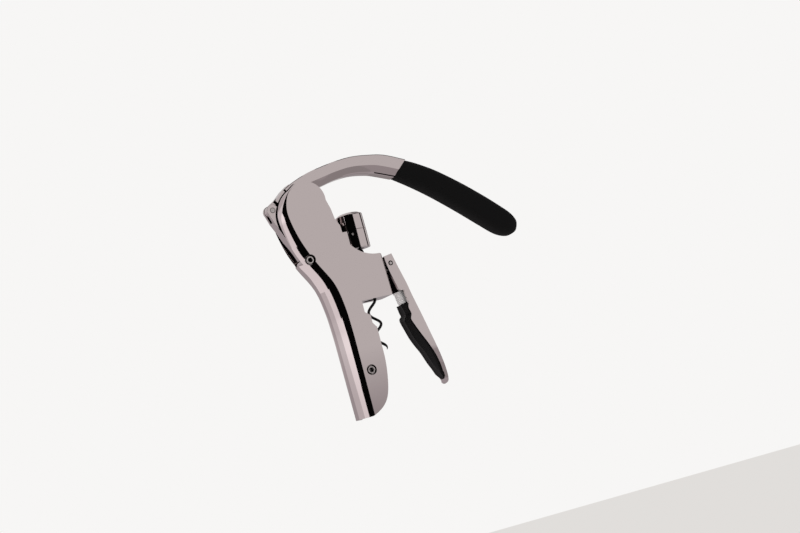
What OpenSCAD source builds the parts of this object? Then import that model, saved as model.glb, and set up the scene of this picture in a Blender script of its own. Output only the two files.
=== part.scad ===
// Vertical lever corkscrew: a hollow upright body with a neck cradle, a long lever on a swinging link,
// a carriage that carries a spinning worm, and a sprung clamp that closes on the bottle neck.
// Frame: origin on the worm axis at the underside of the collar, +X to the front, +Y to the far side, +Z up.

/* [Body] */
// overall width of the body casting
body_w = 26; // [25.6:0.1:26.6]
// thickness of the two cheeks and of the back wall
wall = 3; // [2.8:0.1:3.2]
// lowest point of the body
body_low_z = -91.8; // [-93:0.1:-90.5]
// highest point of the head
body_top_z = 104.2; // [103.8:0.1:104.6]
// height of the collar above its underside
collar_h = 35; // [34.8:0.1:35.2]
// front face of the collar at its underside
collar_front_x = 16.3; // [16:0.1:16.4]
// how far the collar front leans back per millimetre of height
collar_lean = 0.034; // [0.03:0.002:0.038]
// corner radius of the collar seen from above
collar_corner_r = 3; // [2:0.5:3.5]
// height at which that slot starts
rear_slot_z = 38.6; // [38:0.2:39.4]
// radius of the hollow sweep in front of the cheeks
sweep_r = 28; // [27.6:0.1:28.2]
// depth of the round recesses for screw heads and nuts
recess_depth = 2; // [1.9:0.05:2.1]
// screw that holds the neck pad, front to back and up
pad_screw_x = -19.6; // [-20:0.1:-19.2]
pad_screw_z = -55.6; // [-57:0.2:-54]

/* [Neck cradle] */
// radius of the cradle where it holds the neck
neck_r = 14.2; // [14:0.05:14.4]
// radius of the step for the neck ring
ring_step_r = 15.6; // [15.2:0.1:16]
// radius of the step for the mouth
mouth_step_r = 18.3; // [17.8:0.1:18.6]
// how far the flare at the foot opens
flare = 16.5; // [14:0.5:18]

/* [Linkage] */
// fulcrum bolt, front to back and up
fulcrum_x = -46.7; // [-46.9:0.1:-46.5]
fulcrum_z = 41; // [40.8:0.1:41.2]
// tail pin that joins lever and link
tail_x = -64.8; // [-65:0.1:-64.6]
tail_z = 87; // [86.8:0.1:87.2]
// crosshead pin that drives the carriage
cross_x = -36; // [-36.2:0.1:-35.8]
cross_z = 60; // [59.8:0.1:60.2]
// radius of the crosshead pin
cross_pin_r = 2.5; // [2.4:0.05:2.5]
// forward travel of the crosshead pin in its slot
cross_travel = 7.8; // [7.8:0.1:8.2]
// rise and fall of the crosshead pin in its slot
cross_lift = 1.35; // [1.35:0.05:1.6]
// radius of the tail pin
tail_pin_r = 2; // [1.9:0.05:2]
// radius of the fulcrum bolt shank
fulcrum_r = 2.5; // [2.4:0.05:2.5]
// width of the swinging link
link_w = 10; // [9.8:0.1:10.2]
// thickness of the lever's tail lug in the fork of the link
lug_w = 4; // [3.8:0.1:4.2]

/* [Lever] */
// width of the lever beam
beam_w = 14; // [13.6:0.1:14]
// width of the grip
grip_w = 20; // [19:0.5:21]
// thickness of the plate that reaches down to the crosshead pin
hub_plate_w = 6; // [5.6:0.1:6]

/* [Worm] */
// outer diameter of the worm
worm_d = 9.9; // [9.8:0.1:10]
// diameter of the worm wire
wire_d = 2.25; // [2.2:0.05:2.3]
// rise of the worm in one turn
worm_pitch = 20; // [20]
// tip of the worm at rest
worm_tip_z = -42; // [-43:0.5:-40]
// direction of the worm at height zero, about the worm axis
worm_phase = 339.8; // [339.8]

/* [Carriage] */
// radius of the round head
head_r = 11.4; // [11.2:0.05:11.5]
// underside of the head
head_low_z = 43; // [42.8:0.1:43.2]
// seam between the head and its cap
seam_z = 58; // [57.8:0.1:58.2]
// top of the cap at its rim
cap_rim_z = 71.6; // [71.4:0.1:71.8]
// rise of the domed top of the cap
cap_dome = 2.2; // [1.6:0.1:2.6]
// wall of the round head around its bore
head_wall = 2; // [1.9:0.05:2.1]
// guide pin, front to back and up
guide_x = -30; // [-30.2:0.1:-29.8]
guide_z = 51; // [50.8:0.1:51.2]
// radius of the guide pin
guide_r = 2; // [1.9:0.05:2]
// depth of the grooves in the cheeks that the guide pin runs in
groove_depth = 1.5; // [1.4:0.05:1.6]

/* [Clamp] */
// hinge pin of the clamp
hinge_x = 21.55; // [21.45:0.05:21.65]
hinge_z = 25.4; // [25.2:0.1:25.6]
// radius of the hinge pin
hinge_r = 2; // [1.95:0.05:2]
// width of the clamp
clamp_w = 20; // [19.6:0.1:20.4]
// thickness of the clamp cheeks and web
clamp_wall = 2.8; // [2.6:0.1:3]
// thickness of the two hinge ears on the collar
ear_w = 2.9; // [2.7:0.1:2.9]
// corner radius at the foot of the clamp seen from the front
clamp_corner = 9; // [8:0.25:9]
// width of the raised nose of the clamp pad
nose_w = 9; // [8.6:0.1:9.4]
// how far the clamp stands open at rest, in degrees
clamp_open = 11; // [11]
// wire of the clamp spring
spring_wire_d = 0.85; // [0.8:0.05:0.85]
// mean radius of the spring coil
spring_r = 3.2; // [3.15:0.05:3.25]

/* [Fits] */
// radial clearance where a pin turns in a hole
run_gap = 0.05; // [0.04:0.01:0.08]
// clearance between faces that sit together
seat_gap = 0.1; // [0.08:0.01:0.14]
// clearance around the worm in its guide
worm_gap = 0.5; // [0.45:0.05:0.55]
// side clearance between plates that swing past each other
side_gap = 0.4; // [0.35:0.05:0.45]
// room beside the arm plates for the clips of the crosshead pin
clip_room = 2; // [1.9:0.05:2.1]

/* [Hidden] */
$fn = 48;
half_w = body_w / 2;
inner_half_w = half_w - wall;
recess_y = half_w - recess_depth;
rear_slot_half_w = beam_w / 2 + side_gap;
link_half = link_w / 2;
sleeve_r = fulcrum_r + 0.8;
arm_in_y = hub_plate_w / 2 + side_gap;
arm_out_y = inner_half_w - clip_room;
head_bore_r = head_r - head_wall;
ear_out = clamp_w / 2 - clamp_wall - 0.5;
ear_in = ear_out - ear_w;
wire_r = wire_d / 2;
coil_r = worm_d / 2 - wire_r;
spindle_r = worm_d / 2 + 1.05;
guide_body_r = spindle_r + 3;
spindle_low_z = head_low_z + 0.4;
spindle_top_z = head_low_z + 20.8;
worm_top_z = spindle_top_z - 1.8;
// heights and front-to-back positions of the line where the rounded back starts
back_line = [
  [-94, -25], [-40, -24.8], [-20, -25], [0, -26.2], [18.3, -30.1], [37, -40.2], [50, -46.5],
  [63, -51.3], [body_top_z - 26.2, -54.7], [body_top_z - 18.2, -55],
  [body_top_z - 9.9, -52.3], [body_top_z - 5.2, -49.1], [body_top_z + 1.8, -40.3]
];
// heights and depths of the rounded back
crown_line = [
  [-94, 13.4], [-40, 14.6], [0, 15.3], [45, 15.3], [60, 13.9], [body_top_z - 27.2, 12.2],
  [body_top_z - 20.2, 10.4], [body_top_z - 12.2, 7.1], [body_top_z - 4.2, 3.1], [body_top_z + 1.8, 1.1]
];

// A smooth curve through a list of stations [place, value].
function segment(list, t, i = 0) =
  i >= len(list) - 2 || t < list[i + 1][0] ? i : segment(list, t, i + 1);
function slope(list, i) =
  let (a = max(i - 1, 0), b = min(i + 1, len(list) - 1))
  (list[b][1] - list[a][1]) / (list[b][0] - list[a][0]);
function curve(list, t) =
  let (
    i = segment(list, t),
    d = list[i + 1][0] - list[i][0],
    u = (t - list[i][0]) / d
  )
  list[i][1] * (1 + 2 * u) * (1 - u) * (1 - u)
  + slope(list, i) * d * u * (1 - u) * (1 - u)
  + list[i + 1][1] * u * u * (3 - 2 * u)
  + slope(list, i + 1) * d * u * u * (u - 1);

// Points on an arc in two dimensions.
function arc(cx, cy, r, a0, a1, n) =
  [for (i = [0:n]) let (a = a0 + (a1 - a0) * i / n) [cx + r * cos(a), cy + r * sin(a)]];

// Stacks equal rings of points into one closed solid.
// Each ring turns counter-clockwise when it is seen from the last one.
module skin(rings) {
  n = len(rings[0]);
  m = len(rings);
  polyhedron(
    points = [for (ring = rings) for (p = ring) p],
    faces = concat(
      [[for (i = [0:n - 1]) i]],
      [for (k = [0:m - 2]) for (i = [0:n - 1])
        let (j = (i + 1) % n) [k * n + i, (k + 1) * n + j, k * n + j]],
      [for (k = [0:m - 2]) for (i = [0:n - 1])
        let (j = (i + 1) % n) [k * n + i, (k + 1) * n + i, (k + 1) * n + j]],
      [[for (i = [n - 1:-1:0]) (m - 1) * n + i]]
    )
  );
}

// A flat outline in front-to-back and up, made solid from one side position to the other.
module side_plate(y0, y1) {
  translate([0, y1, 0]) rotate([90, 0, 0]) linear_extrude(y1 - y0) children();
}

// A round bar across the object.
module cross_bar(x, z, r, y0, y1, sides = 48) {
  translate([x, y0, z]) rotate([-90, 0, 0]) cylinder(h = y1 - y0, r = r, $fn = sides);
}

// Body casting

// One level of the body: rounded corners in front, a rounded back behind.
function body_ring(z, w, front_x, corner, inset) =
  let (
    back_x = curve(back_line, z),
    depth = max(curve(crown_line, z) - inset, 0.6)
  )
  concat(
    [for (p = arc(front_x - corner, w - corner, corner, 0, 90, 3)) [p[0], p[1], z]],
    [for (i = [0:16]) let (a = 180 * i / 16) [back_x - depth * sin(a), w * cos(a), z]],
    [for (p = arc(front_x - corner, corner - w, corner, 270, 360, 3)) [p[0], p[1], z]]
  );
body_levels = concat(
  [-94, -66, -40, -30, -20, -12, -6],
  [for (i = [0:26]) (body_top_z - 0.2) * i / 26],
  [body_top_z + 1.8]
);
function collar_x(z) = collar_front_x - collar_lean * max(0, min(z, collar_h + 1));

module body_blank() {
  skin([for (z = body_levels) body_ring(z, half_w, collar_x(z), collar_corner_r, 0)]);
}

// The hollow between the cheeks, one wall inside the blank.
module body_hollow() {
  skin([for (z = body_levels) body_ring(z, inner_half_w, 60, 1, wall)]);
}

// Side view of the body: foot, collar, sweep and round head.
module body_side() {
  polygon(concat(
    [[-90, body_low_z], [-4.7, body_low_z], [-4.7, 0], [collar_front_x - 0.6, 0], [collar_front_x + 1, 1]],
    arc(collar_front_x - 4.1, collar_h - 3, 3, 0, 90, 6),
    arc(12.3, collar_h + sweep_r, sweep_r, 268, 183, 18),
    [[-17.6, 68], [-19, 78]],
    arc(-37.6, body_top_z - 16.4, 16.4, -6, 96, 14),
    [[-90, body_top_z]]
  ));
}

// The turned space that takes the bottle neck, from the mouth down to the flare.
function flare_r(u) = neck_r + 0.33 * flare * u * u + 0.67 * flare * pow(u, 9);
module neck_space(step_r) {
  rotate_extrude($fn = 72)
    polygon(concat(
      [[0, 0], [mouth_step_r, 0], [mouth_step_r, -9.4], [step_r, -12.6], [step_r, -19],
        [neck_r, -23], [neck_r, -45]],
      [for (i = [1:9]) let (u = i / 9) [flare_r(u), -45 + (body_low_z + 45) * u]],
      [[flare_r(1), body_low_z - 2], [0, body_low_z - 2]]
    ));
}

module body_casting() {
  color([0.72, 0.69, 0.69])
  difference() {
    union() {
      difference() {
        intersection() {
          body_blank();
          side_plate(-half_w - 1, half_w + 1) body_side();
        }
        // open space between the cheeks above the collar, and the channel behind the neck
        intersection() {
          body_hollow();
          union() {
            translate([-100, -half_w, collar_h]) cube([200, body_w, 80]);
            translate([-100, -half_w, 12]) cube([86.5, body_w, 40]);
            translate([-100, -half_w, body_low_z - 4]) cube([200, body_w, -body_low_z]);
          }
        }
        // slot in the back of the head
        translate([-100, -rear_slot_half_w, rear_slot_z])
          cube([100, 2 * rear_slot_half_w, 80]);
        neck_space(ring_step_r);
      }
      // bosses beside the fulcrum link
      for (y = [-inner_half_w - 0.5, link_half + 0.3])
        cross_bar(fulcrum_x, fulcrum_z, 5, y, y + inner_half_w - link_half + 0.2);
      // hinge ears on the collar front
      for (y = [-ear_out, ear_in]) side_plate(y, y + ear_w) {
        translate([hinge_x, hinge_z]) circle(r = 4);
        polygon([
          [collar_front_x - 2.3, hinge_z - 8.4], [hinge_x - 0.4, hinge_z - 4],
          [hinge_x, hinge_z + 4], [collar_front_x - 2.3, hinge_z + 4]
        ]);
      }
    }
    // seat of the worm guide, with a lip below
    translate([0, 0, 6]) cylinder(h = 60, r = guide_body_r + seat_gap);
    translate([0, 0, -2]) cylinder(h = 20, r = spindle_r);
    // fulcrum bolt hole and its two recesses
    cross_bar(fulcrum_x, fulcrum_z, fulcrum_r + run_gap, -20, 20);
    cross_bar(fulcrum_x, fulcrum_z, 4.2, -20, -recess_y);
    cross_bar(fulcrum_x, fulcrum_z, 4.7, recess_y, 20);
    // hole of the screw that holds the neck pad
    cross_bar(pad_screw_x, pad_screw_z, 2 + run_gap, -20, 20);
    cross_bar(pad_screw_x, pad_screw_z, 4.3, -20, -recess_y);
    cross_bar(pad_screw_x, pad_screw_z, 4.2, recess_y, 20);
    // clamp hinge hole
    cross_bar(hinge_x, hinge_z, hinge_r + run_gap, -20, 20);
    // grooves for the guide pin
    for (y = [-inner_half_w - groove_depth, inner_half_w - 1])
      translate([guide_x - guide_r - 0.4, y, guide_z - guide_r - 0.6])
        cube([2 * guide_r + 0.8, groove_depth + 1, 80]);
  }
}

// Helical tube from one height to another, following the worm.
function helix_ring(z, r, sides, scale_r = 1) =
  let (
    a = worm_phase + 360 * z / worm_pitch,
    lean = atan(worm_pitch / (2 * PI * coil_r)),
    out = [cos(a), sin(a), 0],
    up = [sin(a) * sin(lean), -cos(a) * sin(lean), cos(lean)]
  )
  [for (i = [0:sides - 1]) let (b = 360 * i / sides)
    [coil_r * scale_r * cos(a), coil_r * scale_r * sin(a), z] + r * (cos(b) * out - sin(b) * up)];

module helix_tube(z0, z1, r, rings, sides) {
  n = ceil((z1 - z0) / worm_pitch * rings);
  skin([for (i = [0:n]) helix_ring(z0 + (z1 - z0) * i / n, r, sides)]);
}

module worm_guide() {
  color([0.16, 0.16, 0.17])
  difference() {
    translate([0, 0, 6.05]) cylinder(h = 16, r = guide_body_r);
    helix_tube(3, 26, (wire_r + worm_gap) / cos(22.5), 16, 8);
  }
}

module guide_ring() {
  color([0.6, 0.6, 0.62])
  translate([0, 0, 22.1]) difference() {
    cylinder(h = 1.6, r = guide_body_r);
    translate([0, 0, -1]) cylinder(h = 4, r = spindle_r + 0.6);
    translate([-1.2, -guide_body_r - 3, -1]) cube([2.4, guide_body_r + 3, 4]);
  }
}

// Neck pad behind the bottle neck
module neck_pad() {
  color([0.09, 0.09, 0.09])
  difference() {
    side_plate(-inner_half_w + seat_gap, inner_half_w - seat_gap)
      polygon([
        [-25.6, -4.1], [-8, -4.1], [-8, body_low_z + 1.4], [-24, body_low_z + 1.4], [-25.6, body_low_z + 3]
      ]);
    neck_space(ring_step_r);
    cross_bar(pad_screw_x, pad_screw_z, 2 + run_gap, -20, 20);
    // two hollows in the back that leave a rib at the screw
    translate([-27, -7, -46]) cube([5, 14, 28]);
    translate([-27, -7, -84]) cube([3, 14, 20]);
  }
}

// A socket screw across the body, head on the near side, a little below the faces of the cheeks.
module socket_screw(x, z, socket_head_r, shank_r, below, socket_r) {
  difference() {
    union() {
      cross_bar(x, z, socket_head_r, below - half_w, -recess_y - 0.05);
      cross_bar(x, z, shank_r, -recess_y - 0.05, half_w - below - 0.2);
    }
    translate([x, below - half_w - 1, z]) rotate([-90, 0, 0]) cylinder(h = 2.3, r = socket_r, $fn = 6);
  }
}

// A hexagon nut across the body.
module cross_nut(x, z, r, height, bore_r) {
  translate([0, recess_y + seat_gap, 0]) difference() {
    translate([x, 0, z]) rotate([-90, 0, 0]) cylinder(h = height, r = r, $fn = 6);
    cross_bar(x, z, bore_r, -1, height + 1);
  }
}

module neck_pad_screw() {
  color([0.6, 0.6, 0.62]) socket_screw(pad_screw_x, pad_screw_z, 4, 2, 0.2, 1.8);
}
module neck_pad_nut() {
  color([0.6, 0.6, 0.62]) cross_nut(pad_screw_x, pad_screw_z, 4, 1.7, 2 + run_gap);
}

module clamp_hinge_pin() {
  color([0.75, 0.75, 0.76]) cross_bar(hinge_x, hinge_z, hinge_r, -clamp_w / 2 - 0.3, clamp_w / 2 + 0.3);
}

module fulcrum_bolt() {
  color([0.6, 0.6, 0.62]) socket_screw(fulcrum_x, fulcrum_z, 3.9, fulcrum_r, 0.3, 1.9);
}
module fulcrum_nut() {
  color([0.6, 0.6, 0.62]) cross_nut(fulcrum_x, fulcrum_z, 4.5, 1.4, fulcrum_r + run_gap);
}
module fulcrum_sleeve() {
  color([0.55, 0.45, 0.25])
  difference() {
    cross_bar(fulcrum_x, fulcrum_z, sleeve_r, -link_half - 0.2, link_half + 0.2);
    cross_bar(fulcrum_x, fulcrum_z, fulcrum_r + run_gap, -10, 10);
  }
}

// Swinging link: a hub on the sleeve and a fork that carries the tail pin
module fulcrum_link() {
  color([0.62, 0.6, 0.6])
  difference() {
    union() {
      cross_bar(fulcrum_x, fulcrum_z, 5.6, -link_half, link_half);
      side_plate(-link_half, link_half) polygon([
        [fulcrum_x - 5.1, fulcrum_z + 1.8], [-56.4, 54], [-62, 67.5], [-66.6, 77.2],
        [tail_x - 4.6, tail_z - 1.2], [tail_x + 4.2, tail_z - 2.2],
        [-57.6, 76], [-52.4, 62], [fulcrum_x + 5, fulcrum_z + 1.9]
      ]);
      cross_bar(tail_x, tail_z, 4.9, -link_half, link_half);
    }
    cross_bar(fulcrum_x, fulcrum_z, sleeve_r + run_gap, -10, 10);
    cross_bar(tail_x, tail_z, tail_pin_r + run_gap, -10, 10);
    // gap of the fork
    translate([tail_x - 15, -lug_w / 2 - 0.2, tail_z - 9.6]) cube([40, lug_w + 0.4, 30]);
  }
}

module tail_pin() {
  color([0.75, 0.75, 0.76]) cross_bar(tail_x, tail_z, tail_pin_r, -link_half, link_half);
}

// Lever

// Top and bottom edge of the lever and the grip, front to back and up.
lever_top = [
  [-51, 101.8], [-41.4, 106.8], [-28.4, 111.4], [-14, 114.7], [1.6, 117.2], [13, 118], [25.2, 117.2],
  [41, 114.7], [59.6, 107.5]
];
lever_low = [
  [-46, 95], [-19.8, 98.7], [-5.7, 101.9], [9.9, 103.6], [25.7, 101.9], [33.6, 99.5], [46.3, 94.9]
];
// Where the grip meets the beam, and the tang that reaches into the grip.
joint_top = [59.6, 107.5];
joint_low = [46.3, 94.9];
function tang_top(t) = [56.4, 104.4] + t * [44, -29.6];
function tang_low(t) = [49.4, 97.8] + t * [44, -29.6];

beam_steps = 18;
// The ends of one cut across the lever: a top point and a bottom point.
function beam_top(t) = let (x = -51 + (joint_top[0] + 51) * t) [x, curve(lever_top, x)];
function beam_low(t) = let (x = -46 + (joint_low[0] + 46) * t) [x, curve(lever_low, x)];

// One cut across the lever: sharp upper edges, a rounded lower third.
function beam_ring(top, low, w, low_w) =
  let (down = low - top)
  [for (q = [[1, 0.03], [0.96, 0], [-0.96, 0], [-1, 0.03], [-1, 0.62], [-0.93, 0.78], [-0.72, 0.93],
    [-low_w, 1], [low_w, 1], [0.72, 0.93], [0.93, 0.78], [1, 0.62]])
    let (p = top + down * q[1]) [p[0], q[0] * w / 2, p[1]]];

module lever_casting() {
  color([0.7, 0.67, 0.67])
  difference() {
    union() {
      skin([for (i = [0:beam_steps]) let (t = i / beam_steps)
        beam_ring(beam_top(t), beam_low(t), beam_w, 0.4)]);
      // tang inside the grip
      skin([for (i = [0:3]) let (t = i / 3 * 1.14 - 0.14)
        beam_ring(tang_top(t), tang_low(t), beam_w - 4 - 2 * t, 0.4)]);
      // tail bar
      side_plate(-5, 5) polygon([
        [-46, 105.2], [-52, 101.4], [-60.6, 94.2], [-57.4, 90.4], [-52, 91.4], [-44, 96], [-40, 100]
      ]);
      // tail lug between the fork plates
      side_plate(-lug_w / 2, lug_w / 2) {
        translate([tail_x, tail_z]) circle(r = 4.6);
        polygon([[tail_x - 2.6, tail_z + 3.8], [-58, 96.4], [-52, 94], [tail_x + 2.4, tail_z - 3.9]]);
      }
      // plate down to the crosshead pin
      side_plate(-hub_plate_w / 2, hub_plate_w / 2) {
        translate([cross_x, cross_z]) circle(r = 5.4);
        polygon([
          [cross_x - 5.3, cross_z + 1], [-44.5, 78], [-51, 94], [-46, 102], [-26, 106],
          [-24.5, 96], [-28, 80], [cross_x + 5.3, cross_z + 1]
        ]);
      }
    }
    cross_bar(tail_x, tail_z, tail_pin_r + run_gap, -10, 10);
    cross_bar(cross_x, cross_z, cross_pin_r + run_gap, -10, 10);
    // window in the plate
    side_plate(-10, 10) polygon([[-42, 80], [-45.5, 91], [-30, 93], [-32, 80], [-36, 70]]);
  }
}

grip_top = [
  [0, 59.7, 107.4], [0.16, 70, 102.6], [0.36, 85, 94.6], [0.58, 103.7, 81.3], [0.78, 122, 66.5],
  [0.9, 134, 55.8], [0.965, 143, 46.8], [1, 148, 40]
];
grip_low = [
  [0, 46.4, 94.8], [0.16, 62, 84.9], [0.36, 78.6, 73.1], [0.58, 99, 56.4], [0.78, 116.4, 41.3],
  [0.9, 128.2, 31.8], [0.965, 138, 28.4], [1, 144, 29.4]
];
function grip_point(list, t) = [
  curve([for (p = list) [p[0], p[1]]], t),
  curve([for (p = list) [p[0], p[2]]], t)
];
// One cut across the grip: a softly squared oval.
function grip_ring(t, shrink, w_end) =
  let (
    top = grip_point(grip_top, t),
    low = grip_point(grip_low, t),
    mid = (top + low) / 2,
    half = (top - low) / 2 * shrink,
    w = (16 + (grip_w - 16) * min(1, t * 3)) / 2 * (t > 0.95 ? w_end : 1)
  )
  [for (i = [0:17]) let (
    a = 360 * (i + 0.5) / 18,
    c = cos(a), s = sin(a),
    u = sign(c) * pow(abs(c), 0.75),
    v = sign(s) * pow(abs(s), 0.75),
    p = mid + half * v
  ) [p[0], u * w, p[1]]];
grip_levels = [0, 0.03, 0.08, 0.16, 0.26, 0.36, 0.47, 0.58, 0.68, 0.78, 0.86, 0.92];

module lever_grip() {
  color([0.09, 0.09, 0.09])
  difference() {
    skin(concat(
      [for (t = grip_levels) grip_ring(t, 1, 1)],
      [grip_ring(0.965, 0.98, 0.94), grip_ring(0.99, 0.9, 0.8), grip_ring(1, 0.7, 0.55)]
    ));
    // pocket for the tang
    skin([for (i = [0:3]) let (t = i / 3 * 1.18 - 0.16, grow = seat_gap * [0.7, 0.75])
      beam_ring(tang_top(t) + grow, tang_low(t) - grow, beam_w - 4 - 2 * t + 2 * seat_gap, 0.4)]);
  }
}

module crosshead_pin() {
  color([0.75, 0.75, 0.76])
  difference() {
    cross_bar(cross_x, cross_z, cross_pin_r, side_gap - inner_half_w, inner_half_w - side_gap);
    for (y = [-arm_out_y - 1.3, arm_out_y + 0.2]) difference() {
      cross_bar(cross_x, cross_z, 4, y, y + 1.1);
      cross_bar(cross_x, cross_z, cross_pin_r - 0.5, y - 1, y + 2);
    }
  }
}

module crosshead_clips() {
  color([0.3, 0.3, 0.31])
  for (y = [-arm_out_y - 1.25, arm_out_y + 0.25]) difference() {
    cross_bar(cross_x, cross_z, 3.7, y, y + 1);
    cross_bar(cross_x, cross_z, cross_pin_r - 0.45, y - 1, y + 2);
    translate([cross_x - 1.6, y - 1, cross_z - 6]) cube([3.2, 3, 6]);
  }
}

// Carriage

module carriage_casting() {
  color([0.66, 0.64, 0.64])
  difference() {
    union() {
      translate([0, 0, head_low_z]) cylinder(h = seam_z - head_low_z, r = head_r);
      // arm plates beside the lever plate
      for (y = [-arm_out_y, arm_in_y]) side_plate(y, y + arm_out_y - arm_in_y) polygon(concat(
        [[-6, head_low_z + 2], [-6, seam_z], [-head_r - 0.8, seam_z], [-head_r - 1.2, seam_z + 6]],
        [[-16.6, 72], [-18.9, 84]],
        arc(-24, 81.6, 5, 30, 90, 4),
        arc(cross_x, 81.6, 5, 90, 160, 4),
        [[cross_x - 6.6, cross_z + 6], [cross_x - 6.6, cross_z - 5]],
        arc(guide_x, guide_z, 5, 220, 280, 4)
      ));
      // web between the plates
      side_plate(-arm_in_y - 0.5, arm_in_y + 0.5)
        polygon([[-6, head_low_z + 2], [-6, seam_z], [-19.5, seam_z], [-19.5, head_low_z + 2.6]]);
    }
    // bearing for the spindle, seat for its flange and spigot hole for the cap
    translate([0, 0, head_low_z - 1]) cylinder(h = 30, r = spindle_r + run_gap);
    translate([0, 0, head_low_z + 4]) cylinder(h = 30, r = head_bore_r);
    // slot of the crosshead pin
    side_plate(-20, 20) {
      translate([cross_x - cross_pin_r - 0.8, cross_z - cross_pin_r - cross_lift - 0.2])
        square([cross_travel + 2 * cross_pin_r + 1.2, 2 * cross_pin_r + cross_lift + 0.4]);
    }
    // hole of the guide pin
    cross_bar(guide_x, guide_z, guide_r + run_gap, -20, 20);
    lock_hole(1.1, 0, 20);
  }
}

// Hole of the small screw that locks the cap
module lock_hole(r, y0, y1, sides = 24) {
  translate([-4.5, -y0, seam_z - 3.3]) rotate([90, 0, 0]) cylinder(h = y1 - y0, r = r, $fn = sides);
}

module head_cap() {
  color([0.74, 0.71, 0.71])
  difference() {
    union() {
      translate([0, 0, seam_z + 0.05]) rotate_extrude($fn = 72) polygon(concat(
        [[0, 0], [head_r, 0], [head_r - 0.3, cap_rim_z - seam_z - 0.8], [head_r - 1, cap_rim_z - seam_z]],
        [for (i = [1:6]) let (a = 90 * i / 6) [
          (head_r - 1) * cos(a), cap_rim_z - seam_z + cap_dome * sin(a)]]
      ));
      // spigot into the carriage
      translate([0, 0, head_low_z + 9.2]) cylinder(h = seam_z - head_low_z - 7, r = head_bore_r - seat_gap);
    }
    translate([0, 0, head_low_z + 7]) cylinder(h = spindle_top_z - head_low_z - 6.4, r = head_bore_r - 1.8);
    lock_hole(1.1, 0, 20);
  }
}

module head_lock_screw() {
  color([0.2, 0.2, 0.21])
  difference() {
    lock_hole(1.05, head_r - 4.8, head_r - 1.2);
    lock_hole(0.5, head_r - 2, head_r, 6);
  }
}

module guide_pin() {
  color([0.75, 0.75, 0.76]) cross_bar(
    guide_x, guide_z, guide_r, 0.3 - inner_half_w - groove_depth, inner_half_w + groove_depth - 0.3
  );
}

module worm_spindle() {
  color([0.5, 0.5, 0.52])
  difference() {
    union() {
      translate([0, 0, spindle_low_z]) cylinder(h = spindle_top_z - spindle_low_z, r = spindle_r);
      translate([0, 0, head_low_z + 5.2]) cylinder(h = 2.6, r = head_bore_r - 2);
    }
    helix_tube(head_low_z - 1, worm_top_z + 0.6, (wire_r + 0.12) / cos(30), 12, 6);
  }
}

module thrust_washers() {
  color([0.55, 0.45, 0.25])
  for (z = [4.1, 7.9]) translate([0, 0, head_low_z + z]) difference() {
    cylinder(h = 1, r = head_bore_r - 0.2);
    translate([0, 0, -1]) cylinder(h = 3, r = spindle_r + run_gap);
  }
}

module worm() {
  tip_len = 5;
  n = ceil((worm_top_z - worm_tip_z - tip_len) / worm_pitch * 12);
  color([0.07, 0.07, 0.07])
  skin(concat(
    [for (i = [0:3]) let (t = i / 3 * 0.99 + 0.01)
      helix_ring(worm_tip_z + tip_len * i / 4, wire_r * pow(t, 0.7), 6)],
    [for (i = [0:n]) helix_ring(
      worm_tip_z + tip_len + (worm_top_z - worm_tip_z - tip_len) * i / n, wire_r, 6)]
  ));
}

// Clamp, drawn as it stands open at rest

// Places a part that was drawn against the closed neck onto the open clamp.
module opened() {
  translate([hinge_x, 0, hinge_z]) rotate([0, -clamp_open, 0]) translate([-hinge_x, 0, -hinge_z]) children();
}
// Lines of the clamp from low to high, measured from its hinge: where the pad meets the casting,
// the front of the casting and the rear edge of its upper part.
pad_line = [
  [-106.4, 23.45], [-99.7, 22.45], [-90.7, 20.25], [-79.7, 16.75], [-70.4, 13.35], [-59.4, 9.05],
  [-52.1, 6.55], [-47.7, 5.15], [-44, 6.65], [-38.4, 5.55], [-33.9, 6.85]
];
clamp_front = [
  [-104.6, 26.05], [-102.5, 26.65], [-92.5, 25.05], [-78.5, 22.25], [-62.5, 18.85], [-46.4, 15.35],
  [-27.8, 11.05], [-19.5, 9.45], [-9.7, 6.95], [-1.4, 4.85], [7.3, 2.85]
];
clamp_rear = [[-21.6, 0.85], [-18.3, 0.05], [-11.7, -1.55], [-5.1, -3.05], [3.1, -4.25], [5.9, -4.35]];
function line_points(list, z0, z1, n, shift = 0) =
  [for (i = [0:n]) let (z = z0 + (z1 - z0) * i / n) [curve(list, z) + shift, z]];
// Inner face of the front web.
function web_x(z) = hinge_x + curve(clamp_front, z - hinge_z) - clamp_wall;

// A side profile that is measured from the hinge, made solid between two side positions.
module clamp_plate(y0, y1) {
  side_plate(y0, y1) translate([hinge_x, hinge_z]) children();
}

// What is cut away at the foot to round its two corners, seen from the front.
module foot_corners() {
  half = clamp_w / 2;
  low = hinge_z - 105.3;
  for (side = [-1, 1]) difference() {
    translate([hinge_x, side > 0 ? half - clamp_corner : -half - 2, low - 2])
      cube([40, clamp_corner + 2, clamp_corner + 2]);
    translate([hinge_x - 1, side * (half - clamp_corner), low + clamp_corner])
      rotate([0, 90, 0]) cylinder(h = 42, r = clamp_corner);
  }
}

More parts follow.
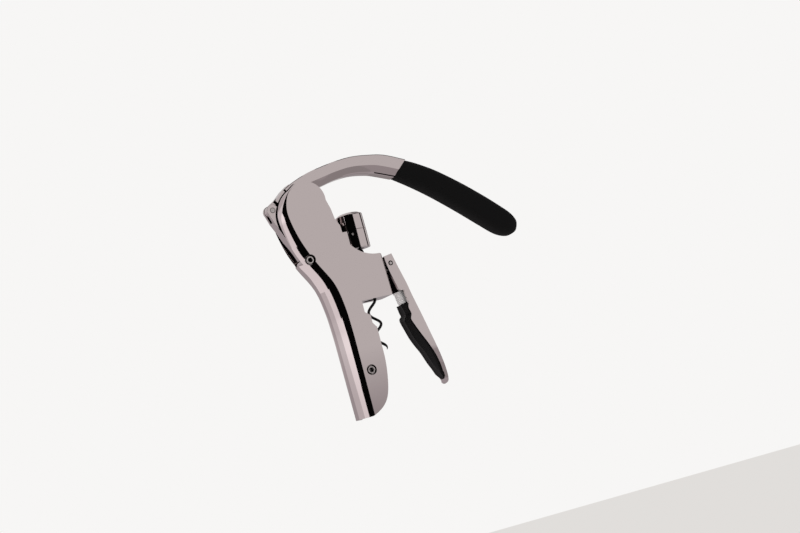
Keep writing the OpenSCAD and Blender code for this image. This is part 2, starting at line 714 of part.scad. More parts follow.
module clamp_casting() {
  half = clamp_w / 2;
  color([0.7, 0.67, 0.67])
  difference() {
    clamp_plate(-half, half) polygon(concat(
      [[24, -105.3]],
      line_points(pad_line, -104.4, -33.9, 20),
      [[5.65, -23.8], [1.85, -23.2]],
      line_points(clamp_rear, -21.6, 5, 6),
      [[-4.4, 6.3], [2.8, 7.6]],
      line_points(clamp_front, 6.8, -102.5, 18),
      arc(24, -102.6, 2.7, 0, -90, 6)
    ));
    // channel between the cheeks, behind the front web
    clamp_plate(clamp_wall - half, half - clamp_wall) polygon(concat(
      line_points(clamp_front, -102.7, 10.6, 18, -clamp_wall), [[-26, 10.6], [-26, -102.7]]
    ));
    foot_corners();
    // window in the web for the hinge ears and the spring
    translate([hinge_x - 3, clamp_wall - half, hinge_z - 5.4]) cube([12, clamp_w - 2 * clamp_wall, 10.2]);
    cross_bar(hinge_x, hinge_z, hinge_r + run_gap, -20, 20);
  }
}

// Round metal post under the arm of the clamp, with a collar at its top and a small hole in its side
module clamp_jaw() {
  color([0.66, 0.64, 0.64])
  difference() {
    translate([hinge_x + 5, 0, hinge_z - 29]) rotate([0, -10, 0]) {
      translate([0, 0, -5]) cylinder(h = 10.4, r = 3.9);
      translate([0, 0, 4.2]) cylinder(h = 1.4, r = 4.3);
      // foot that reaches forward to the web of the casting
      translate([0, -3.4, -4.6]) cube([8, 6.8, 8.4]);
    }
    // face that lies on the web
    clamp_plate(-20, 20) polygon(concat(
      line_points(clamp_front, -42, -14, 6, -clamp_wall - 0.15), [[20, -14], [20, -42]]
    ));
    cross_bar(hinge_x + 3.6, hinge_z - 31.3, 1.1, -20, -2.6);
  }
}

// Black pad that grips the front of the neck: a nose, two shoulders and a lip on the clamp cheeks
module clamp_pad() {
  half = clamp_w / 2 - clamp_wall - 2 * seat_gap;
  color([0.09, 0.09, 0.09])
  difference() {
    union() {
      // nose and shoulders inside the channel of the casting
      for (part = [[nose_w / 2, -16], [half, -2.9]])
        clamp_plate(-part[0], part[0]) polygon(concat(
          line_points(pad_line, -102.2, -34.8, 20, part[1]),
          line_points(clamp_front, -34.8, -102.2, 20, -clamp_wall - 0.15)
        ));
      clamp_plate(-half - clamp_wall, half + clamp_wall) polygon(concat(
        line_points(pad_line, -93, -34.8, 18, -1.2), line_points(pad_line, -34.8, -96, 18, -0.15)
      ));
    }
    opened() pad_space();
    foot_corners();
  }
}

// The neck space seen by the front pad: a roomier ring step, the grip and a long flare.
pad_radii = [
  [-84, 26.6], [-79.5, 25.7], [-76.6, 24.9], [-70.7, 23.4], [-61.8, 21], [-51.9, 19.3], [-46.4, 17.8],
  [-41.9, 16.6], [-36.4, 15.5], [-30, 14.9], [-25, neck_r + 0.2], [-22, neck_r]
];
module pad_space() {
  rotate_extrude($fn = 72)
    polygon(concat(
      [[0, 2], [17, 2], [17.5, -17.4], [16.6, -19.4]],
      [for (i = [0:15]) let (z = -22 - 62 * i / 15) [curve(pad_radii, z), z]],
      [[0, -84]]
    ));
}

// Torsion spring around the hinge pin, one unbroken wire
spring_half = ear_in - 0.8;
spring_turns = floor(2 * spring_half / (spring_wire_d + 0.45) - 0.5);
spring_rings = 8;
function spring_ring(c, n, r, sides) =
  let (
    t = n / norm(n),
    u0 = cross(t, abs(t[1]) < 0.9 ? [0, 1, 0] : [1, 0, 0]),
    u = u0 / norm(u0),
    v = cross(t, u)
  )
  [for (i = [0:sides - 1]) let (b = 360 * i / sides) c + r * (cos(b) * u + sin(b) * v)];
function spring_point(i) =
  let (a = 180 - 360 * i / spring_rings, n = spring_turns * spring_rings + spring_rings / 2)
  [hinge_x + spring_r * cos(a), -spring_half + 2 * spring_half * i / n, hinge_z + spring_r * sin(a)];
spring_last = spring_turns * spring_rings + spring_rings / 2;
// The rear leg lies on the collar and the front leg on the web of the clamp.
spring_path = concat(
  [for (p = [[0.8, -12.4], [1.4, -7.8]]) [collar_x(hinge_z + p[1]) + p[0], -spring_half, hinge_z + p[1]]],
  [[hinge_x - spring_r - 0.35, -spring_half, hinge_z - 3]],
  [for (i = [0:spring_last]) spring_point(i)],
  [[hinge_x + spring_r - 0.45, spring_half, hinge_z - 3]],
  [for (z = [-5.6, -8.4, -11.2]) [web_x(hinge_z + z) - 0.75, spring_half, hinge_z + z]]
);
// Least distance between points of a path that are more than some steps apart.
function least_gap(path, steps) =
  min([for (i = [0:len(path) - 1]) for (j = [i + steps:1:len(path) - 1]) norm(path[i] - path[j])]);
echo(least_gap_in_the_spring = least_gap(spring_path, 6) - spring_wire_d);

module clamp_spring() {
  p = spring_path;
  m = len(p);
  color([0.6, 0.6, 0.62])
  skin([for (i = [0:m - 1]) spring_ring(
    p[i], p[min(i + 1, m - 1)] - p[max(i - 1, 0)], spring_wire_d / 2, 6)]);
}

body_casting();
worm_guide();
guide_ring();
neck_pad();
neck_pad_screw();
neck_pad_nut();
clamp_hinge_pin();
fulcrum_bolt();
fulcrum_nut();
fulcrum_sleeve();
fulcrum_link();
tail_pin();
lever_casting();
lever_grip();
crosshead_pin();
crosshead_clips();
carriage_casting();
head_cap();
head_lock_screw();
guide_pin();
worm_spindle();
thrust_washers();
worm();
clamp_casting();
clamp_jaw();
clamp_pad();
clamp_spring();
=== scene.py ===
# Vertical lever corkscrew: a plated hollow body with a neck cradle, a long lever with a dark grip,
# a round head that carries the worm, and a sprung clamp with a black pad.
# The object's lengths are written in millimetres and turned to metres where a mesh is made. The camera and
# the stage are in metres.
import math

import bmesh
import bpy
from mathutils import Matrix, Vector


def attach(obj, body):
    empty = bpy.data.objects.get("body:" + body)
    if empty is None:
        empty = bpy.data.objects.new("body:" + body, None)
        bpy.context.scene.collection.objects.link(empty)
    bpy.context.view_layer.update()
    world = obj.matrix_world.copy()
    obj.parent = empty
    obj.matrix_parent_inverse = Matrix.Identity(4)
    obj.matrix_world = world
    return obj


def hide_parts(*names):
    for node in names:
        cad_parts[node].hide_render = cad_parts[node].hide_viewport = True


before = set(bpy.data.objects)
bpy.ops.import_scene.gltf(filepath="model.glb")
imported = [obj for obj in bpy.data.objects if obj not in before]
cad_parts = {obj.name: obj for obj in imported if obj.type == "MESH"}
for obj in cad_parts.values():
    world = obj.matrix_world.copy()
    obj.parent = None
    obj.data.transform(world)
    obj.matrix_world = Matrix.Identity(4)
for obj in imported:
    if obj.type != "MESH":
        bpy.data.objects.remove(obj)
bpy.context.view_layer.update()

# Camera
# It looks up a little at the near side from low behind the body, and it is rolled so that the body leans.
camera_azimuth = math.radians(-25)
camera_elevation = math.radians(-5.63)
camera_roll = math.radians(-14.71)
camera_target = Vector((0.0335, 0, 0.022))
camera_distance = 1.6
away = Vector((
    math.sin(camera_azimuth) * math.cos(camera_elevation),
    -math.cos(camera_azimuth) * math.cos(camera_elevation),
    math.sin(camera_elevation),
))
level_right = (-away).cross(Vector((0, 0, 1))).normalized()
level_up = level_right.cross(-away)
camera_right = math.cos(camera_roll) * level_right + math.sin(camera_roll) * level_up
camera_up = -math.sin(camera_roll) * level_right + math.cos(camera_roll) * level_up
camera_data = bpy.data.cameras.new("camera")
camera_data.sensor_width = 36
camera_data.lens = 87.9
camera = bpy.data.objects.new("camera", camera_data)
bpy.context.scene.collection.objects.link(camera)
camera.matrix_world = Matrix.Translation(camera_target + camera_distance * away) @ Matrix((
    camera_right, camera_up, away)).transposed().to_4x4()
bpy.context.scene.camera = camera

# Stage
# A pale floor under a round tent of grey cloth, with black and white panels that the plating mirrors.
# The tent and the card on the floor show in reflections only.
def paint(code):
    """Linear colour of an sRGB hex code."""
    parts = [int(code[i:i + 2], 16) / 255 for i in (0, 2, 4)]
    return [p / 12.92 if p <= 0.04045 else ((p + 0.055) / 1.055) ** 2.4 for p in parts] + [1]


def add_node(tree, kind, values=None, links=None, **settings):
    """A shader node with its settings, its socket values and its incoming links."""
    made = tree.nodes.new(kind)
    for name, value in settings.items():
        setattr(made, name, value)
    for socket, value in (values or {}).items():
        made.inputs[socket].default_value = value
    for socket, source in (links or {}).items():
        tree.links.new(source, made.inputs[socket])
    return made


def new_material(name):
    """An empty node material and its output."""
    material = bpy.data.materials.new(name)
    material.use_nodes = True
    material.node_tree.nodes.clear()
    return material, material.node_tree, material.node_tree.nodes.new("ShaderNodeOutputMaterial")


def make_mesh(name, points, faces, scale=0.001):
    """A mesh object from points, which are in millimetres unless another scale is given."""
    mesh = bpy.data.meshes.new(name)
    mesh.from_pydata([[scale * c for c in p] for p in points], [], faces)
    made = bpy.data.objects.new(name, mesh)
    bpy.context.scene.collection.objects.link(made)
    return made


def glow(name, upper, lower):
    """Cloth or card that gives light by itself, with a colour for its upper and one for its lower part."""
    material, tree, output = new_material(name)
    place = add_node(tree, "ShaderNodeTexCoord")
    parts = add_node(tree, "ShaderNodeSeparateXYZ", links={"Vector": place.outputs["Object"]})
    share = add_node(
        tree, "ShaderNodeMapRange", {"From Min": -0.04, "From Max": 0.08}, {"Value": parts.outputs["Z"]})
    tone = add_node(tree, "ShaderNodeMix", {6: paint(lower), 7: paint(upper)}, {
        0: share.outputs["Result"]}, data_type="RGBA")
    shader = add_node(tree, "ShaderNodeEmission", {"Strength": 1}, {"Color": tone.outputs[2]})
    tree.links.new(shader.outputs[0], output.inputs["Surface"])
    return material


def hang(made, material):
    """Gives a panel its material and makes it show in reflections only."""
    made.data.materials.append(material)
    made.visible_camera = False
    made.visible_diffuse = False
    made.visible_shadow = False


def gore(name, start, end, low, high, material):
    """A panel of the round tent between two azimuths and two elevations in degrees."""
    across = max(2, int(abs(end - start) / 3))
    up = max(1, int((high - low) / 5))
    points = []
    for i in range(across + 1):
        azimuth = math.radians(start + (end - start) * i / across)
        for j in range(up + 1):
            rise = math.radians(low + (high - low) * j / up)
            points.append([
                tent_radius * math.cos(rise) * math.sin(azimuth),
                -tent_radius * math.cos(rise) * math.cos(azimuth),
                tent_radius * math.sin(rise)])
    row = up + 1
    faces = [
        [i * row + j, i * row + row + j, i * row + row + j + 1, i * row + j + 1]
        for i in range(across) for j in range(up)]
    hang(make_mesh(name, points, faces, 1), material)


def floor_panel(name, start, end, near, far, material):
    """A flat panel on the floor between two azimuths in degrees and two distances."""
    steps = max(2, int(abs(end - start) / 3))
    points = []
    for i in range(steps + 1):
        azimuth = math.radians(start + (end - start) * i / steps)
        for reach in (near, far):
            points.append([reach * math.sin(azimuth), -reach * math.cos(azimuth), floor_level + 0.004])
    faces = [[2 * i, 2 * i + 2, 2 * i + 3, 2 * i + 1] for i in range(steps)]
    hang(make_mesh(name, points, faces, 1), material)


tent_radius = 1.9
floor_level = -0.5
floor_reach = 1.83
white_start = 282
black_end = 375
grey_cloth = glow("grey tent cloth", "c3c0c0", "9a9496")
white_cloth = glow("white tent cloth", "fffafc", "e4dee0")
pale_cloth = glow("pale tent cloth", "d6d2d4", "c2bcbe")
shade_cloth = glow("shaded tent cloth", "b8b2b4", "a39da0")
seam_tape = glow("dark seam tape", "2a2829", "2a2829")
black_cloth = glow("black tent cloth", "060606", "060606")
low_card = glow("grey card on the floor", "8f8a8b", "8f8a8b")
for name, start, end, low, high, material in (
    ("side", 15, 84, -16, 15, grey_cloth),
    ("side_band", 15, 84, 15, 58, seam_tape),
    ("side_top", 15, 84, 58, 88, grey_cloth),
    ("low_front", 84, 146, -16, -1, grey_cloth),
    ("side_seam", 84, 98, -1, 60, seam_tape),
    ("front", 98, 128, -1, 88, grey_cloth),
    ("front_seam", 128, 146, -1, 60, seam_tape),
    ("far", 146, 200, -16, 88, grey_cloth),
    ("rear_shade", 200, 260, -16, 88, shade_cloth),
    ("rear", 260, white_start, -16, 88, pale_cloth),
    ("white", white_start, 300, -16, 0, white_cloth),
    ("black", 300, black_end, -16, 0, black_cloth),
    ("high_black", white_start, black_end, 22, 88, black_cloth),
):
    gore("tent_" + name, start, end, low, high, material)
# Above the horizon the white panel narrows in steps and the black one widens, which shapes the dark band on
# the back of the body.
for step in range(11):
    border = 304 - 3 * max(0, step - 3)
    gore("tent_white_step", white_start, border, 2 * step, 2 * step + 2, white_cloth)
    gore("tent_black_step", border, black_end, 2 * step, 2 * step + 2, black_cloth)
for name, start, end, near, far, material in (
    ("side", 15, 200, 0.45, floor_reach, low_card),
    ("rear_shade", 200, 260, 0.2, floor_reach, shade_cloth),
    ("rear", 260, 297, 0.2, floor_reach, white_cloth),
    ("black", 297, black_end, 0.2, floor_reach, black_cloth),
    ("middle", 15, 200, 0.01, 0.45, shade_cloth),
):
    floor_panel("low_" + name, start, end, near, far, material)

floor_paint, tree, output = new_material("pale floor")
matt = add_node(tree, "ShaderNodeBsdfDiffuse", {"Color": paint("e8e6e4")})
tree.links.new(matt.outputs[0], output.inputs["Surface"])
floor_corners = [[x, y, floor_level] for x, y in ((-6, -6), (6, -6), (6, 6), (-6, 6))]
floor = make_mesh("floor", floor_corners, [[0, 1, 2, 3]], 1)
floor.data.materials.append(floor_paint)

world = bpy.data.worlds.new("studio")
bpy.context.scene.world = world
world.use_nodes = True
world.node_tree.nodes.clear()
world_output = world.node_tree.nodes.new("ShaderNodeOutputWorld")
world_light = add_node(world.node_tree, "ShaderNodeBackground", {"Color": paint("f7f6f5"), "Strength": 1})
world.node_tree.links.new(world_light.outputs[0], world_output.inputs["Surface"])
bpy.context.scene.view_settings.view_transform = "Standard"

# Body casting
# One zinc die casting, ground, polished and plated bright. Two flat cheeks and a rounded back round an open
# hollow, a slot in the back of the head, a square collar and the cradle for the bottle neck.
half_width = 13
hollow_half = 10
wall = 3
body_low = -91.8
body_top = 104.2
collar_top = 35
cheek_front = -4.7
# Places of the fulcrum bolt, of the clamp's hinge pin and of the neck pad's screw, as front-to-back and up.
fulcrum = (-46.7, 41)
hinge = (21.55, 25.4)
pad_screw = (-19.6, -55.6)
# Where the flat of the cheeks ends, and how far the rounded back reaches behind that, each by its height.
back_line = [
    [-94, -26.3], [-40, -26.3], [-20, -26.5], [0, -27.8], [18.3, -31.7], [37, -41.8], [50, -48], [63, -52.6],
    [78, -55.8], [86, -55.7], [94.3, -53], [99, -49.4], [106, -40.3],
]
crown_line = [
    [-94, 11.4], [-40, 12.4], [0, 13], [45, 13], [60, 11.8], [77, 10.4], [84, 8.8], [92, 6], [100, 2.6],
    [106, 0.9],
]


def along(stations, place):
    """The value at a place on a smooth line through stations of place and value."""
    i = 0
    while i < len(stations) - 2 and place >= stations[i + 1][0]:
        i += 1
    slopes = []
    for k in (i, i + 1):
        a, b = stations[max(k - 1, 0)], stations[min(k + 1, len(stations) - 1)]
        slopes.append((b[1] - a[1]) / (b[0] - a[0]))
    span = stations[i + 1][0] - stations[i][0]
    u = (place - stations[i][0]) / span
    return (
        stations[i][1] * (1 + 2 * u) * (1 - u) ** 2 + slopes[0] * span * u * (1 - u) ** 2
        + stations[i + 1][1] * u * u * (3 - 2 * u) + slopes[1] * span * u * u * (u - 1)
    )


def bend(x, y, radius, start, end, steps):
    """Points on an arc, with its angles in degrees."""
    angles = [math.radians(start + (end - start) * i / steps) for i in range(steps + 1)]
    return [[x + radius * math.cos(a), y + radius * math.sin(a)] for a in angles]


def outwards(piece):
    """Merges doubles and points every face out."""
    work = bmesh.new()
    work.from_mesh(piece.data)
    bmesh.ops.remove_doubles(work, verts=work.verts, dist=1e-6)
    bmesh.ops.recalc_face_normals(work, faces=work.faces)
    work.to_mesh(piece.data)
    work.free()
    return piece


def loft(name, rings):
    """A closed solid through equal rings of points."""
    n = len(rings[0])
    faces = [list(range(n)), [(len(rings) - 1) * n + i for i in reversed(range(n))]]
    for k in range(len(rings) - 1):
        for i in range(n):
            j = (i + 1) % n
            faces.append([k * n + i, k * n + j, (k + 1) * n + j, (k + 1) * n + i])
    return outwards(make_mesh(name, [p for ring in rings for p in ring], faces))


def plate(name, outline, near, far):
    """A flat outline in front-to-back and up, made solid between two side positions."""
    return loft(name, [[[x, y, z] for x, z in outline] for y in (near, far)])


def bar(name, x, z, radius, near, far, sides=64):
    """A round bar across the object."""
    return plate(name, bend(x, z, radius, 0, 360 - 360 / sides, sides - 1), near, far)


def block(name, low, high):
    """A box between two corners."""
    outline = [[low[0], low[2]], [high[0], low[2]], [high[0], high[2]], [low[0], high[2]]]
    return plate(name, outline, low[1], high[1])


def turned(name, profile, sides=96, bored=False):
    """A solid turned about the worm axis from a profile of radius and height. A bored one is a ring."""
    rings = []
    for i in range(sides):
        a = 2 * math.pi * i / sides
        rings.append([[r * math.cos(a), r * math.sin(a), z] for r, z in profile])
    n = len(profile)
    points = [p for ring in rings for p in ring]
    faces = []
    for k in range(sides):
        m = (k + 1) % sides
        for i in range(n if bored else n - 1):
            j = (i + 1) % n
            faces.append([k * n + i, m * n + i, m * n + j, k * n + j])
    return outwards(make_mesh(name, points, faces))


def settle(piece):
    """Turns the modifiers of a piece into its plain mesh."""
    graph = bpy.context.evaluated_depsgraph_get()
    mesh = bpy.data.meshes.new_from_object(piece.evaluated_get(graph))
    piece.modifiers.clear()
    piece.data = mesh
    return piece


def carve(piece, tool, operation="DIFFERENCE"):
    """Cuts a tool out of a piece, adds it or keeps what they share."""
    cut = piece.modifiers.new("carve", "BOOLEAN")
    cut.operation = operation
    cut.solver = "EXACT"
    cut.object = tool
    settle(piece)
    bpy.data.objects.remove(tool)
    return piece


def ease_edges(piece, width, angle=32, segments=3):
    """Joins flat faces, rounds the sharp edges by a width in millimetres and shades the rest smooth."""
    work = bmesh.new()
    work.from_mesh(piece.data)
    bmesh.ops.remove_doubles(work, verts=work.verts, dist=2e-6)
    # Only faces that look straight along an axis are joined, so that the curved ones keep their shape.
    level_edges = [
        joint for joint in work.edges if len(joint.link_faces) == 2
        and all(max(abs(c) for c in face.normal) > 0.99999 for face in joint.link_faces)]
    bmesh.ops.dissolve_limit(
        work, angle_limit=math.radians(0.2), verts=[], edges=level_edges, use_dissolve_boundaries=False)
    bmesh.ops.recalc_face_normals(work, faces=work.faces)
    work.to_mesh(piece.data)
    work.free()
    piece.data.shade_smooth()
    if width > 0:
        soft = piece.modifiers.new("soft edges", "BEVEL")
        soft.width = width * 0.001
        soft.segments = segments
        soft.limit_method = "ANGLE"
        soft.angle_limit = math.radians(angle)
        soft.miter_outer = "MITER_ARC"
        soft.use_clamp_overlap = True
    flat = piece.modifiers.new("flat faces", "WEIGHTED_NORMAL")
    flat.mode = "FACE_AREA_WITH_ANGLE"
    flat.weight = 50
    flat.keep_sharp = True
    piece.data.set_sharp_from_angle(angle=math.radians(angle))
    return settle(piece)


def shade_by_angle(piece, angle):
    """Shades a turned piece smooth between its corners."""
    piece.data.shade_smooth()
    piece.data.set_sharp_from_angle(angle=math.radians(angle))
    return piece


def dress(piece, body, slot, material, *nodes):
    """Gives a finished piece its material and its body, and hides the CAD nodes it stands for."""
    piece.data.materials.clear()
    piece.data.materials.append(material)
    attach(piece, body)
    if nodes:
        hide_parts(*nodes)
    return piece


# Half of the rounded back seen from above: three arcs that run into each other, tight at the cheek, nearly
# flat on the flank and round again at the middle. Each has a start and an end in degrees and a radius.
back_half = []
deep = 0
across = 0
for start, end, radius in ((0, 40, 0.645), (40, 60, 2.26), (60, 90, 0.59)):
    turns = [math.radians(start + (end - start) * i / 10) for i in range(11)]
    for a, b in zip(turns, turns[1:]):
        back_half.append([deep, across])
        deep += radius * (math.sin(b) - math.sin(a))
        across += radius * (math.cos(a) - math.cos(b))
back_half = [[p / deep, 1 - q / across] for p, q in back_half] + [[1, 0]]
back_shape = back_half + [[p, -q] for p, q in back_half[-2::-1]]


def body_level(z, half, front, corner, inset):
    """One level of the body: small round corners in front and a rounded back."""
    back = along(back_line, z)
    depth = max(along(crown_line, z) - inset, 0.6)
    ring = [[x, y, z] for x, y in bend(front - corner, half - corner, corner, 0, 90, 8)]
    ring += [[back - depth * p, half * q, z] for p, q in back_shape]
    return ring + [[x, y, z] for x, y in bend(front - corner, corner - half, corner, 270, 360, 8)]


def levels(low, high, step):
    """Even heights from low to high."""
    count = max(1, round((high - low) / step))
    return [low + (high - low) * i / count for i in range(count + 1)]


def front_face(z):
    """Front of the collar, which leans back a little as it rises."""
    return 16.3 - 0.034 * max(0, min(z, 36))


body = loft("body", [body_level(z, half_width, front_face(z), 3, 0) for z in levels(-94, 106, 2)])
# The side view: foot, cheek, collar, the hollow curve above the collar, the head and far behind the back.
side = [[-90, body_low], [cheek_front, body_low], [cheek_front, 0], [15.7, 0], [17.3, 1]]
side += bend(12.2, collar_top - 3, 3, 0, 90, 12)
side += bend(12.3, collar_top + 28, 28, 268, 183, 48)
side += [[-17.6, 68], [-19, 78]]
side += bend(-37.6, body_top - 16.4, 16.4, -6, 96, 48)
side += [[-90, body_top]]
carve(body, plate("tool", side, -20, 20), "INTERSECT")

# Half widths of the room for the link and of the slot, radii of the bosses and of the room for the hub of the
# link, and how far the open spaces reach to the front.
link_room = 5.3
slot_half = 7.4
boss_radius = 5.6
hub_room = 6
past_front = 60
collar_rear = -13.5


def open_space(tool):
    """Cuts an open space into the body, but leaves a boss standing on each side of the fulcrum link."""
    for near in (-half_width, link_room):
        carve(tool, bar("boss", *fulcrum, boss_radius, near, near + half_width - link_room))
    carve(body, tool)


# The hollow above, behind and below the collar, the slot in the back and the room for the hub of the link.
upper_heights = levels(collar_top, 108, 3)
open_space(loft("tool", [body_level(z, hollow_half, past_front, 1, wall) for z in upper_heights]))
open_space(loft("tool", [body_level(z, hollow_half, collar_rear, 1, wall) for z in levels(12, 52, 3)]))
carve(body, loft("tool", [body_level(z, hollow_half, past_front, 1, wall) for z in levels(-96, -4, 6)]))
open_space(block("tool", (-100, -slot_half, 38.6), (0, slot_half, 118)))
carve(body, bar("tool", *fulcrum, hub_room, -link_room, link_room))

# The cradle has a wide step for the mouth of the bottle, one for its ring, a bore for the neck and a flare.
cradle_radius = 14.2
flare_top = -45
flare_growth = 16.5
flare_steps = 24


def flare_radius(share):
    """Radius of the flare at a share of its height, growing slowly at first and fast at the foot."""
    return cradle_radius + 0.33 * flare_growth * share * share + 0.67 * flare_growth * share ** 9


cradle = [[0, 0], [18.3, 0], [18.3, -9.4], [15.6, -12.6], [15.6, -19]]
cradle += [[cradle_radius, -23], [cradle_radius, flare_top]]
for i in range(1, flare_steps + 1):
    cradle.append([flare_radius(i / flare_steps), flare_top + (body_low - flare_top) * i / flare_steps])
cradle += [[flare_radius(1), body_low - 2], [0, body_low - 2]]
carve(body, turned("tool", cradle, sides=128))
# Two ears in front of the collar carry the hinge pin.
for near in (-6.7, 3.8):
    ear = bend(*hinge, 4, -160, 90, 24) + [[14, 29.4], [14, 17]]
    carve(body, plate("tool", ear, near, near + 2.9), "UNION")
# The bore for the worm guide, and the narrower one under it that the worm comes out of.
carve(body, turned("tool", [[0, 6], [9.1, 6], [9.1, 66], [0, 66]]))
carve(body, turned("tool", [[0, -2], [6, -2], [6, 18], [0, 18]]))
# Holes for the bolt, the screw and the pin, with recesses for the heads and the nuts.
for spot, radius, near, far in (
    (fulcrum, 2.55, -20, 20),
    (fulcrum, 4.2, -20, -9.6),
    (fulcrum, 4.7, 9.6, 20),
    (pad_screw, 2.05, -20, 20),
    (pad_screw, 4.3, -20, -11),
    (pad_screw, 4.2, 11, 20),
    (hinge, 2.05, -20, 20),
):
    carve(body, bar("tool", *spot, radius, near, far))
# A groove inside each cheek for the guide pin of the carriage.
for near in (-11.5, 9):
    carve(body, block("tool", (-32.4, near, 48.4), (-27.6, near + 2.5, 128)))
ease_edges(body, 0.55)

# Bright nickel and chrome plating over polished zinc: a clean mirror with faint clouds of about 17 mm from
# hand polishing. Its slightly warm, pinkish grey is partly the plating's own tone and partly a painted
# reflection of red surroundings. Corners and gaps are painted shade: the colour goes dark near other
# surfaces, where ambient occlusion finds them within 12 mm.
plating, tree, output = new_material("bright plated zinc")
place = add_node(tree, "ShaderNodeTexCoord")
cloud = add_node(tree, "ShaderNodeTexNoise", {"Scale": 60, "Detail": 3}, {"Vector": place.outputs["Object"]})
softness = add_node(tree, "ShaderNodeMapRange", {
    "From Min": 0.35, "From Max": 0.65, "To Min": 0.02, "To Max": 0.04}, {"Value": cloud.outputs["Fac"]})
# Painted shade: ambient occlusion within 12 mm darkens the colour in corners, gaps and the hollow.
corners = add_node(tree, "ShaderNodeAmbientOcclusion", {"Distance": 0.012}, samples=8)
open_share = add_node(
    tree, "ShaderNodeMapRange", {"From Min": 0.2, "From Max": 0.5}, {"Value": corners.outputs["AO"]})
painted_corner_shade = add_node(tree, "ShaderNodeMix", {6: paint("2c2829"), 7: paint("e9dedd")}, {
    0: open_share.outputs["Result"]}, data_type="RGBA")
shader = add_node(tree, "ShaderNodeBsdfPrincipled", {"Metallic": 1}, {
    "Base Color": painted_corner_shade.outputs[2], "Roughness": softness.outputs["Result"]})
tree.links.new(shader.outputs[0], output.inputs["Surface"])
dress(body, "body", "bright_casting", plating, "body_casting")

# Neck pad
# A black elastomer block behind the bottle neck, moulded to fit the cradle. One socket screw through the
# cheeks holds it.
rubber, tree, output = new_material("black moulded elastomer")
place = add_node(tree, "ShaderNodeTexCoord")
# A deep matt black. The spark-eroded mould leaves a grain of about 0.3 mm, drawn at 0.5 mm so that it shows.
grain = add_node(tree, "ShaderNodeTexNoise", {"Scale": 2000, "Detail": 2}, {
    "Vector": place.outputs["Object"]})
relief = add_node(tree, "ShaderNodeBump", {"Strength": 0.35, "Distance": 0.0001}, {
    "Height": grain.outputs["Fac"]})
shader = add_node(tree, "ShaderNodeBsdfPrincipled", {
    "Base Color": paint("0f0e10"), "Roughness": 0.6, "IOR": 1.4}, {"Normal": relief.outputs["Normal"]})
tree.links.new(shader.outputs[0], output.inputs["Surface"])


def copied(node):
    """A copy of a CAD node with its doubled points merged."""
    copy = bpy.data.objects.new(node + "_dressed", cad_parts[node].data.copy())
    bpy.context.scene.collection.objects.link(copy)
    return outwards(copy)


def remade(node, width, angle=32):
    """A copy of a CAD node with its edges eased."""
    return ease_edges(copied(node), width, angle)


dress(remade("neck_pad", 0.3), "body", "black_pad", rubber, "neck_pad")

# Screws, nuts and pins
# Turned steel, nickel plated: the fulcrum bolt and the screw of the neck pad, each with its nut, the pins of
# the linkage and their clips, and the ring that holds the worm guide. The link itself is a plated casting.
head_radius = 3.3
socket_radius = 1.9
# Plating over turning marks gives a grey mirror, a little blurred. The marks are about 0.1 mm apart, and are
# drawn as patches of about 1 mm so that they show. Sockets, gaps and corners get painted shade: ambient
# occlusion within 3 mm darkens the colour to near black.
steel, tree, output = new_material("turned plated steel")
place = add_node(tree, "ShaderNodeTexCoord")
turning = add_node(tree, "ShaderNodeTexNoise", {"Scale": 900, "Detail": 2}, {
    "Vector": place.outputs["Object"]})
softness = add_node(tree, "ShaderNodeMapRange", {
    "From Min": 0.3, "From Max": 0.7, "To Min": 0.1, "To Max": 0.18}, {"Value": turning.outputs["Fac"]})
# Painted shade: ambient occlusion within 3 mm darkens the colour towards near black.
corners = add_node(tree, "ShaderNodeAmbientOcclusion", {"Distance": 0.003}, samples=8)
open_share = add_node(
    tree, "ShaderNodeMapRange", {"From Min": 0.3, "From Max": 0.75}, {"Value": corners.outputs["AO"]})
painted_corner_shade = add_node(tree, "ShaderNodeMix", {6: paint("141314"), 7: paint("d9d3d1")}, {
    0: open_share.outputs["Result"]}, data_type="RGBA")
shader = add_node(tree, "ShaderNodeBsdfPrincipled", {
    "Metallic": 1}, {"Base Color": painted_corner_shade.outputs[2], "Roughness": softness.outputs["Result"]})
tree.links.new(shader.outputs[0], output.inputs["Surface"])
for node in ("neck_pad_nut", "fulcrum_nut", "guide_ring"):
    dress(remade(node, 0.25), "body", "steel", steel, node)
for node, spot, face, seat, shank, far in (
    ("fulcrum_bolt", fulcrum, -11.3, -9.65, 2.5, 12.5),
    ("neck_pad_screw", pad_screw, -12.6, -11.05, 2, 12.6),
):
    screw = bar(node + "_turned", *spot, head_radius, face, seat)
    carve(screw, bar("tool", *spot, shank, seat - 0.2, far), "UNION")
    carve(screw, bar("tool", *spot, socket_radius, -20, seat + 1.2, 6))
    ease_edges(screw, 0.45)
    dress(screw, "body", "steel", steel, node)
hinge_pin = bar("hinge_pin", *hinge, 1.95, -9.6, 9.6)
carve(hinge_pin, bar("tool", *hinge, 1.35, -10.25, 10.25), "UNION")
dress(ease_edges(hinge_pin, 0.3), "body", "steel", steel, "clamp_hinge_pin")
dress(remade("tail_pin", 0.2), "link", "steel", steel, "tail_pin")
dress(remade("fulcrum_link", 0.4), "link", "bright_casting", plating, "fulcrum_link")
for node in ("crosshead_pin", "crosshead_clips"):
    dress(remade(node, 0.15), "lever", "steel", steel, node)
for node in ("guide_pin", "head_lock_screw"):
    dress(remade(node, 0.15), "carriage", "steel", steel, node)

# Lever
# One plated die casting: a curved beam with flat sides and slanted lower flanks, a tail lug for the link and
# a plate that reaches down between the arms of the carriage.
beam_width = 14
beam_steps = 60
# Places of the tail pin and the crosshead pin, as front-to-back and up.
tail = (-64.8, 87)
crosshead = (-36, 60)
